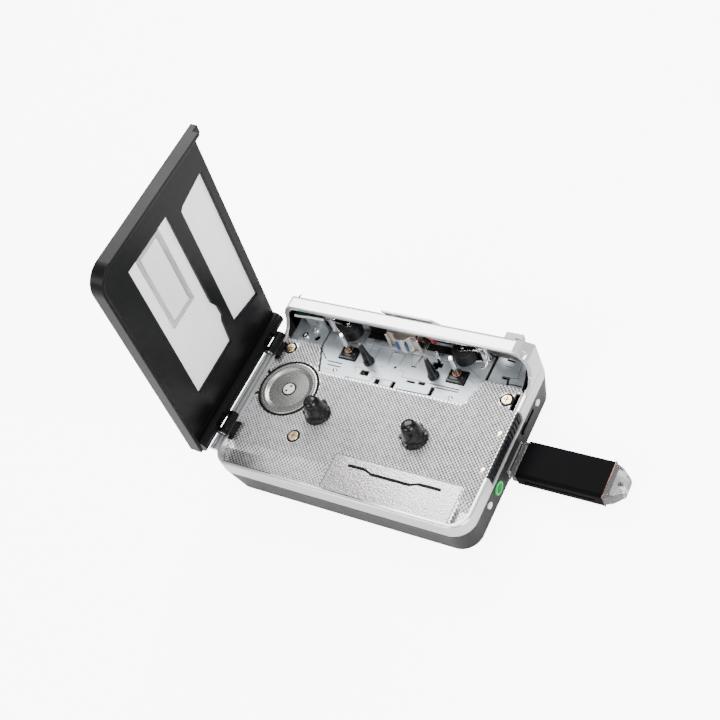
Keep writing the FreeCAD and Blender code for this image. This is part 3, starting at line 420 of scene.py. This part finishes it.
def merged(name, parts):
    """Joins pieces of one material and body into a single mesh."""
    bm = bmesh.new()
    for part in parts:
        mesh = part.data.copy()
        mesh.transform(part.matrix_world)
        bm.from_mesh(mesh)
    body = parts[0]["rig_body"]
    mat = parts[0].data.materials[0]
    mesh = bpy.data.meshes.new(name)
    bm.to_mesh(mesh)
    bm.free()
    mesh.materials.append(mat)
    for part in parts:
        bpy.data.objects.remove(part)
    return place(bpy.data.objects.new(name, mesh), body, None)


# ------------------------------------------------------- knurled tape floor
def floor_free(x, y, gap):
    """True where the knurled floor has nothing let into it."""
    if abs(x) > FIELD_HALF_LENGTH - gap or y > FIELD_REAR - gap or y < FIELD_FRONT + gap:
        return False
    deck_edge = 10.6 + max(0.0, (-32.0 - x) * 2.38, (x - 32.3) * 3.5)
    if -37.0 < x < 35.7 and y > deck_edge - gap:
        return False
    if any(math.hypot(x - cx, y - cy) < radius + gap for (cx, cy), radius in ROUND_HOLES):
        return False
    in_slot_panel = -6.6 - gap < x < 46.8 + gap and y < -21.1 + gap
    at_hinge_bracket = x < -50.6 + gap and (-28.2 < y < -18.6 or 10.9 < y < 20.5)
    at_side_rest = 49.4 - gap < x < 51.8 + gap and 12.4 - gap < y < 20.4 + gap
    return not (in_slot_panel or at_hinge_bracket or at_side_rest)


def knurl(name, pitch, height, mat):
    """Field of small pyramids standing on the floor, their rows running at 45 degrees."""
    verts, faces = [], []
    half = pitch / 2 * math.sqrt(2)
    count = int(80 / pitch)
    for i in range(-count, count + 1):
        for j in range(-count, count + 1):
            x = (i - j) * pitch / math.sqrt(2)
            y = (i + j) * pitch / math.sqrt(2) - KNURL_SHIFT
            if not floor_free(x, y, half * 0.3):
                continue
            n = len(verts)
            for reach, z in ((half, FLOOR + 0.01), (half * KNURL_TOP_SHARE, FLOOR + height)):
                verts += [(x - reach, y, z), (x, y - reach, z), (x + reach, y, z), (x, y + reach, z)]
            for k in range(4):
                m = (k + 1) % 4
                faces.append([n + k, n + m, n + 4 + m, n + 4 + k])
            faces.append([n + 4, n + 5, n + 6, n + 7])
    return add(name, verts, faces, mat)


# ------------------------------------------------------------ tape mechanism
def capstan_bushes():
    """Copper washer and raised step on each black bush."""
    washer = [(1.15, 19.32), (1.75, 19.32), (1.85, 19.42), (1.8, 19.5), (1.15, 19.5), (1.15, 19.32)]
    for side, (x, y) in CAPSTANS.items():
        lathe(side + "_bush_washer", x, y, washer, COPPER, slot="copper")
        block(side + "_bush_step", (x - 2.6, y - 3.0, 18.7), (x + 3.4, y + 1.0, 18.95), GLOSS,
              slot="gloss_black")


def hub_drivers():
    """Smooth blunt cone above a skirt with small dogs, on each reel."""
    cone = [(2.0, 19.45), (5.1, 19.45), (5.25, 19.7), (5.1, 20.15), (4.75, 20.35), (4.6, 21.2),
            (4.55, 21.9), (4.2, 22.3), (4.05, 23.4), (3.85, 24.6), (3.6, 25.8), (3.3, 26.9),
            (2.95, 27.9), (2.55, 28.6), (2.1, 29.0), (1.6, 29.2), (0.9, 29.3), (0.0, 29.32)]
    dog = ((3.9, -0.8), (5.35, -0.7), (5.5, -0.45), (5.5, 0.45), (5.35, 0.7), (3.9, 0.8))
    for side, (x, y) in REELS.items():
        body = side + "_reel"
        pieces = [lathe(side + "_cone", x, y, cone, GLOSS, body=body)]
        for k in range(DOG_COUNT):
            turn = math.radians(360 / DOG_COUNT * k + 20)
            c, s = math.cos(turn), math.sin(turn)
            outline = [(x + r * c - t * s, y + r * s + t * c) for r, t in dog]
            pieces.append(extrude("%s_dog_%d" % (side, k), outline, 20.0, 22.15, GLOSS, body=body,
                                  bevel=0.18))
        shown = merged(side + "_hub_driver", pieces)
        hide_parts(side + "_spindle")


def motor():
    """Bright rolled rim, sloping dish, flat middle and white boss; the gap round the dish and the recess
    round the boss are painted shade, near-black rings.
    """
    x, y = MOTOR
    rim = MOTOR_RADIUS
    dish = [(2.95, 17.7), (2.95, 18.42), (3.0, 18.5), (8.2, 18.44), (8.7, 18.5), (9.3, 18.8),
            (9.9, 19.06), (10.35, 19.16), (10.8, 19.12), (11.05, 19.2), (11.4, 19.27),
            (rim - 0.1, 19.2), (rim, 19.0), (rim, 9.7), (3.0, 9.7)]
    shown = lathe("motor_dish", x, y, dish, DISC, steps=96)
    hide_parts("motor_can")
    # Painted shade: a near-black ring fills the gap between the dish and the floor.
    flat_ring("motor_gap", MOTOR, rim + 0.03, rim + 1.0, 18.95, 19.04, DARK, steps=96,
              slot="gloss_black")
    # Painted shade in the recess round the boss.
    flat_ring("motor_recess", MOTOR, 2.4, 3.0, 18.46, 18.56, DARK, steps=48, slot="gloss_black")
    boss = lathe("motor_boss", x, y, [(0.0, 19.05), (1.9, 19.05), (2.2, 19.0), (2.4, 18.8), (2.4, 17.6)],
                 WHITE)
    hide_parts("motor_cap")
    dots = [lathe("motor_dot_%d" % k, x + 0.55 * k, y + 1.2 * k, [(0.0, 19.09), (0.5, 19.09), (0.5, 19.04)],
                  DARK, steps=20) for k in (-1, 1)]
    merged("motor_dots", dots)


def floor_details():
    """Gaps round the screws and beside the motor, and the cranked slot in its panel, all filled with painted
    shade, and a painted dark seam round the panel.
    """
    # Painted shade: near-black rings in the gaps round the screws.
    rings = [flat_ring("screw_gap_%d" % k, screw, *SCREW_GAP, FLOOR, FLOOR + 0.12, DARK, steps=40)
             for k, screw in enumerate(SCREWS)]
    merged("screw_gaps", rings)
    # Painted shade: dark strips in the gaps beside the motor.
    strokes("motor_wedge", [[(-52.9, -5.2), (-52.2, -4.4)], [(-52.9, 5.8), (-52.2, 5.0)]], 0.9,
            ON_FLOOR, DARK, slot="gloss_black")
    # Painted shade: a near-black block under the cranked slot.
    slot = ((0.45, -25.25), (0.45, -24.15), (7.6, -24.15), (10.6, -25.35), (27.2, -25.35),
            (30.4, -24.15), (39.25, -24.15), (39.25, -25.25), (30.0, -25.25), (26.8, -26.45),
            (11.0, -26.45), (8.0, -25.25))
    extrude("slot_dark", slot, 18.42, 18.9, DARK, slot="gloss_black")
    # Painted shade: a dark line along the seam of the panel.
    strokes("panel_seam", [[(-6.45, -36.2), (-6.45, -21.2), (46.6, -21.2), (46.6, -36.2)]], 0.22,
            FLOOR, SHADE, slot="knurled_chrome")


def hood():
    """Painted shade under the rear bridge and behind the head, as near-black sheets, and its steel lip."""
    upper = [(28.9, 31.4), (32.5, 31.4), (33.1, 30.9)]
    full = upper + [(36.8, 23.3), (37.1, 22.0), (37.1, 18.6)]
    # Painted shade: near-black sheets where shade falls under the bridge and at its ends.
    for name, profile, start, end in (("left", full, -48.4, -10.7), ("middle", full, 12.7, 34.6),
                                      ("right", upper + [(35.4, 26.2)], 34.6, 46.0)):
        sweep("hood_shade_sheet_" + name, profile, "x", start, end, DARK, closed=False, slot="gloss_black")
    left_end = [(-51.9, 19.1), (-51.9, 27.0), (-50.7, 29.6), (-48.4, 31.4)]
    right_end = [(46.0, 31.4), (48.5, 30.7), (50.4, 29.1), (51.6, 27.3), (52.6, 24.9), (53.2, 21.0)]
    sweep("hood_end_left", left_end, "y", 28.0, 36.6, DARK, closed=False, slot="gloss_black")
    sweep("hood_end_right", right_end, "y", 28.6, 35.4, DARK, closed=False, slot="gloss_black")
    # Painted shade: near-black sheets behind the head carriage and under it.
    block("carriage_back_shade", (-18.6, 33.55, 19.2), (-10.8, 33.7, 29.0), DARK, bevel=0.02,
          slot="gloss_black")
    block("head_back_shade", (-8.6, 33.6, 19.2), (8.2, 33.78, 27.1), DARK, bevel=0.02, body="heads",
          slot="gloss_black")
    for index, (x0, x1) in enumerate(((-18.8, -8.0), (7.6, 18.8))):
        block("carriage_shade_%d" % index, (x0, 30.2, 19.1), (x1, 33.5, 19.2), DARK, bevel=0.02,
              body="heads", slot="gloss_black")
    block("hood_strip", (-34.0, 28.5, 30.8), (31.0, 28.9, 31.15), STEEL, bevel=0.08, slot="deck_steel")
    block("hood_strip_end", (14.0, 28.4, 30.5), (29.0, 28.8, 30.85), BRIGHT, bevel=0.1,
          slot="bright_steel")


def deck():
    """Pressed lines, slots, seams and clips of the steel deck; the lines, slots and seams are painted shade,
    dark strips laid on it.
    """
    fine = [
        [(2.2, 27.6), (2.5, 27.8), (6.6, 27.9)], [(2.2, 27.6), (4.4, 22.6)], [(6.9, 27.8), (5.4, 22.4)],
        [(-15.6, 28.0), (-12.0, 28.0), (-12.1, 22.6)], [(-15.6, 28.0), (-15.4, 24.6)],
        [(-6.1, 26.8), (-5.6, 21.2)], [(-3.1, 27.0), (-0.4, 27.0), (-0.7, 22.1)],
        [(0.3, 19.6), (2.2, 19.5)], [(2.2, 19.5), (2.6, 16.9), (15.0, 16.85)],
        [(-19.8, 11.7), (-9.5, 11.8), (-8.9, 14.3), (1.4, 14.2)], [(-18.3, 16.9), (-8.9, 16.8)],
        [(-18.0, 16.7), (-16.9, 13.7)], [(-8.6, 19.4), (-6.6, 19.3)],
        [(-36.3, 22.9), (-35.4, 20.4), (-31.6, 17.2)], [(17.6, 15.4), (18.6, 12.6)],
        [(28.6, 22.6), (33.0, 20.4)], [(-19.4, 19.9), (-18.9, 25.0)], [(-29.6, 26.6), (-22.6, 27.2)],
        [(26.9, 27.0), (33.2, 23.6)],
    ]
    slots = [[(-31.0, 16.85), (-24.4, 16.85)], [(-30.4, 15.25), (-24.4, 15.25)],
             [(15.2, 16.85), (27.3, 16.85)], [(18.0, 15.75), (27.3, 15.75)]]
    gaps = [
        [(2.8, 11.35), (15.9, 11.75), (17.2, 12.4)], [(4.5, 22.35), (6.2, 22.4)],
        [(6.9, 28.2), (6.2, 25.2)], [(-35.4, 20.4), (-32.6, 17.8)], [(-20.0, 11.4), (-18.6, 11.7)],
    ]
    outline = [(-36.9, 22.9), (-31.9, 11.0), (32.1, 11.0), (35.6, 22.9)]
    side_lines = [[(42.9, 26.0), (47.3, 27.0), (48.4, 26.5)], [(46.4, 33.6), (47.1, 27.2)],
                  [(40.3, 31.2), (42.9, 31.0)]]
    side_gaps = [[(40.4, 33.9), (43.0, 33.5)], [(43.9, 25.6), (44.3, 23.6)]]
    # Painted shade: dark strips laid along the creases, slots, gaps and seams, where shade falls.
    for name, lines, width, mat, slot in (
            ("deck_lines", fine, 0.16, SHADE, "deck_steel"),
            ("deck_slot_shade", slots, 0.3, SHADE, "deck_steel"),
            ("deck_gaps", gaps, 0.42, DARK, "gloss_black"),
            ("deck_outline", [outline], 0.2, SHADE, "deck_steel"),
            ("side_plate_seam", [[(36.0, 34.0), (36.0, 23.3)]], 0.7, DARK, "gloss_black"),
            ("side_plate_lines", side_lines, 0.2, SHADE, "deck_steel"),
            ("side_plate_gaps", side_gaps, 0.8, DARK, "gloss_black"),
            ("side_plate_end", [[(51.0, 34.0), (51.0, 23.0)]], 1.1, DARK, "gloss_black")):
        strokes(name, lines, width, ON_DECK, mat, slot=slot)
    block("deck_tab", (-5.1, 11.2, 17.6), (-0.2, 13.9, 18.08), STEEL, slot="deck_steel")
    block("deck_step", (-31.2, 13.2, 18.0), (-24.2, 13.35, 18.04), STEEL, bevel=0.01, slot="deck_steel")
    lathe("deck_post", 14.3, 27.6, [(0.0, 23.2), (0.6, 23.2), (0.75, 23.0), (0.75, 17.2)], BRIGHT,
          steps=32, slot="bright_steel")
    strokes("bush_shade_left", [[(-27.7, 25.2), (-19.3, 25.2)]], 0.3, ON_DECK, SHADE, slot="deck_steel")


def corner_screws():
    """Screws of the bracket in the rear left corner."""
    head = [(0.0, 18.35), (0.5, 18.35), (0.6, 18.7), (1.3, 18.7), (1.5, 18.5), (1.55, 18.0)]
    heads = [lathe("corner_screw_%d" % k, x, y, head, BRIGHT, steps=32)
             for k, (x, y) in enumerate(((-43.3, 29.4), (-46.2, 25.8)))]
    merged("corner_screws", heads)


# ------------------------------------------------------------- left-hand end
def hinge_ledge():
    """Ledge of the trim ring under the hinge of the lid, with a long groove, its shade painted as a dark
    strip.
    """
    profile = [(-58.3, 19.2), (-58.3, 20.3), (-58.0, 20.55), (-56.9, 20.6), (-56.7, 20.35), (-56.4, 20.35),
               (-56.2, 20.6), (-55.6, 20.65), (-54.9, 20.5), (-54.9, 19.2)]
    sweep("hinge_ledge", profile, "y", -33.4, 19.5, SILVER, slot="silver_plastic")
    # Painted shade: a dark strip along the bottom of the groove.
    strokes("hinge_ledge_line", [[(-56.55, 19.3), (-56.55, -33.2)]], 0.3, 20.36, SHADE,
            slot="silver_plastic")


def end_pockets():
    """Painted shade on the end faces of the well, under the ends of the rear bridge: near-black sheets."""
    left = [(22.8, 19.1), (22.8, 21.2), (25.4, 23.0), (27.2, 25.4), (28.2, 27.0), (36.4, 27.0), (36.4, 19.1)]
    right = [(20.6, 19.1), (20.6, 20.7), (25.0, 22.7), (26.6, 24.8), (35.4, 24.8), (35.4, 19.1)]
    # Painted shade: near-black sheets standing at each end of the well.
    sweep("pocket_left", left, "x", -52.0, -51.9, DARK, slot="gloss_black")
    sweep("pocket_right", right, "x", 52.1, 52.2, DARK, slot="gloss_black")


# --------------------------------------------------- right-hand end and front
def stick_edge():
    """Bright edge where the sleeve of the stick meets its clear cap."""
    sides = ((-6.9, 8.3, 8.6, 8.9), (-6.9, 8.3, 2.0, 2.3), (-6.85, -6.8, 2.3, 8.6), (8.2, 8.25, 2.3, 8.6))
    bars = [block("edge_%d" % k, (90.35, y0, z0), (90.75, y1, z1), COPPER, bevel=0.05, body="memory_stick")
            for k, (y0, y1, z0, z1) in enumerate(sides)]
    merged("stick_edge", bars)


def well_edges():
    """Groove of the ring, gold contacts, guide rails and slits round the edge of the well; the groove, the
    rails and the slits are painted shade, dark lines.
    """
    # Painted shade: a dark line in the groove of the ring.
    strokes("ring_groove_left", [[(-54.25, 12.4), (-54.25, -16.0)], [(-54.25, -25.5), (-54.25, -31.0)]],
            0.18, ON_RIM, SHADE, slot="silver_plastic")
    gold = [block("contact_%d" % k, (50.0, y - 1.2, FLOOR), (51.4, y + 1.2, FLOOR + 0.35), GOLD)
            for k, y in enumerate((2.3, -13.3))]
    merged("edge_contacts", gold)
    # Painted shade: dark lines drawn along the guide rails.
    strokes("edge_rails", [[(x, 11.4), (x, -24.0)] for x in (51.75, 52.45)], 0.2, ON_FLOOR, SHADE,
            slot="knurled_chrome")
    # Painted shade: near-black lines in the slits of the front rim.
    strokes("front_slits", [[(-49.0, -37.15), (-27.0, -37.15)], [(-3.5, -37.15), (14.0, -37.15)]], 0.28,
            ON_RIM, DARK, slot="gloss_black")


# ----------------------------------------------- head, springs, leads, rivets
def head_face():
    """Two narrow pole windows and the side rails of the shield."""
    for index, x in enumerate((-2.6, 1.6)):
        block("head_gap_%d" % index, (x, 26.42, 21.2), (x + 1.0, 26.9, 25.8), BLUE, bevel=0.08,
              body="heads", slot="head_shield")
    for index, x in enumerate((-7.4, 6.2)):
        block("head_guide_%d" % index, (x, 28.0, 19.3), (x + 1.0, 31.6, 27.4), SHIELD, bevel=0.3,
              body="heads", slot="head_shield")


def arm_springs():
    """Wire springs round the pinch-arm pivots, and the hook of the right one."""
    for side, (px, py) in PIVOTS.items():
        loop = []
        for k in range(13):
            a = math.radians(-60 + 30 * k)
            loop.append((px + 2.75 * math.cos(a), py + 2.2 * math.sin(a), 27.5 + 0.05 * k))
        wire(side + "_arm_spring", loop, 0.28, BRIGHT, body=side + "_pinch", slot="bright_steel")
    hook = [(30.4, 29.4, 27.3), (33.6, 29.5, 27.6), (36.3, 28.3, 27.2), (37.4, 25.9, 26.0),
            (36.6, 24.4, 24.6), (34.6, 24.6, 23.6)]
    wire("right_spring_hook", hook, 0.42, BRIGHT, slot="bright_steel")


def leads():
    """White lead of the control board and red lead of the head."""
    white = [(-50.5, 29.5, 25.7), (-46.0, 29.6, 26.0), (-41.0, 29.9, 26.0), (-37.2, 30.1, 25.6)]
    shown = wire("board_lead", white, 0.5, WIRE_WHITE, slot="wire_white")
    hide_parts("board_wire")
    red = [(6.9, 32.6, 25.6), (8.6, 32.2, 26.2), (10.6, 31.4, 25.6), (11.8, 31.6, 24.2),
           (11.6, 32.8, 22.4), (10.4, 33.2, 20.0)]
    wire("head_lead_red", red, 0.45, RED, body="heads", slot="wire_white")


def deck_rivets():
    dome = [(0.0, DECK + 0.45), (0.6, DECK + 0.4), (0.95, DECK + 0.15), (1.0, DECK)]
    rivets = [lathe("rivet_%d" % index, x, y, dome, BRIGHT, steps=32)
              for index, (x, y) in enumerate(((-25.9, 13.3), (25.6, 12.6)))]
    merged("deck_rivets", rivets)


knurl("floor_knurl", KNURL_PITCH, KNURL_HEIGHT, KNURL)
capstan_bushes()
hub_drivers()
motor()
floor_details()
hood()
deck()
corner_screws()
hinge_ledge()
end_pockets()
stick_edge()
well_edges()
head_face()
arm_springs()
leads()
deck_rivets()


# -------------------------------------------------------------------- stage
def stage_plane(reach=3.0, glow=7.0):
    """Pale floor, brightened where it is seen directly, as an overexposed studio floor is."""
    mesh = bpy.data.meshes.new("backdrop")
    corners = [(-reach, -reach, 0), (reach, -reach, 0), (reach, reach, 0), (-reach, reach, 0)]
    mesh.from_pydata(corners, [], [[0, 1, 2, 3]])
    obj = bpy.data.objects.new("backdrop", mesh)
    bpy.context.scene.collection.objects.link(obj)
    mat = material("pale_floor", (0.90, 0.90, 0.90), 0.55, grain=40, bump=0.0, vary=0.004, round_mm=0)
    tree = mat.node_tree
    bsdf = shader(mat)
    bsdf.inputs["Emission Color"].default_value = (1, 1, 1, 1)
    seen = tree.nodes.new("ShaderNodeLightPath").outputs["Is Camera Ray"]
    tree.links.new(calc(tree, "MULTIPLY", seen, glow), bsdf.inputs["Emission Strength"])
    mesh.materials.append(mat)


def area(name, location, size, power, target=(0, 0, 0.02)):
    data = bpy.data.lights.new(name, "AREA")
    data.shape = "RECTANGLE"
    data.size, data.size_y = size
    data.energy = power
    obj = bpy.data.objects.new(name, data)
    obj.location = location
    obj.rotation_mode = "QUATERNION"
    obj.rotation_quaternion = (Vector(target) - Vector(location)).to_track_quat("-Z", "Y")
    bpy.context.scene.collection.objects.link(obj)


def studio_world(strength):
    world = bpy.data.worlds.new("studio")
    bpy.context.scene.world = world
    world.use_nodes = True
    background = world.node_tree.nodes["Background"]
    background.inputs[0].default_value = (1, 1, 1, 1)
    background.inputs[1].default_value = strength


stage_plane()
area("key", (-0.35, 0.55, 0.78), (0.7, 0.45), 12.0)
area("fill", (0.85, -0.35, 0.55), (0.6, 0.6), 15.0)
area("front", (-0.3, -0.9, 0.65), (0.7, 0.4), 9.0)
area("top", (0.0, 0.0, 1.1), (0.5, 0.3), 4.0)
studio_world(0.55)


# ------------------------------------------------------------------- camera
def place_camera(target, distance, azimuth, elevation, roll, lens):
    """Camera at a distance from its target; azimuth counts from +X, and all angles are degrees."""
    azimuth, elevation, roll = (math.radians(angle) for angle in (azimuth, elevation, roll))
    back = Vector((math.cos(elevation) * math.cos(azimuth), math.cos(elevation) * math.sin(azimuth),
                   math.sin(elevation)))
    level = Vector((-math.sin(azimuth), math.cos(azimuth), 0))
    right = level * math.cos(roll) + back.cross(level) * math.sin(roll)
    turn = Matrix((right, back.cross(right), back)).transposed().to_4x4()
    data = bpy.data.cameras.new("camera")
    data.lens = lens
    data.sensor_width = 36
    data.clip_start = 0.01
    data.clip_end = 20
    camera = bpy.data.objects.new("camera", data)
    bpy.context.scene.collection.objects.link(camera)
    camera.matrix_world = Matrix.Translation(Vector(target) + back * distance) @ turn
    bpy.context.scene.camera = camera


place_camera(target=(-0.00971, 0.01335, 0.03), distance=0.47504, azimuth=-40.3688, elevation=48.4533,
             roll=-28.9193, lens=63.14)
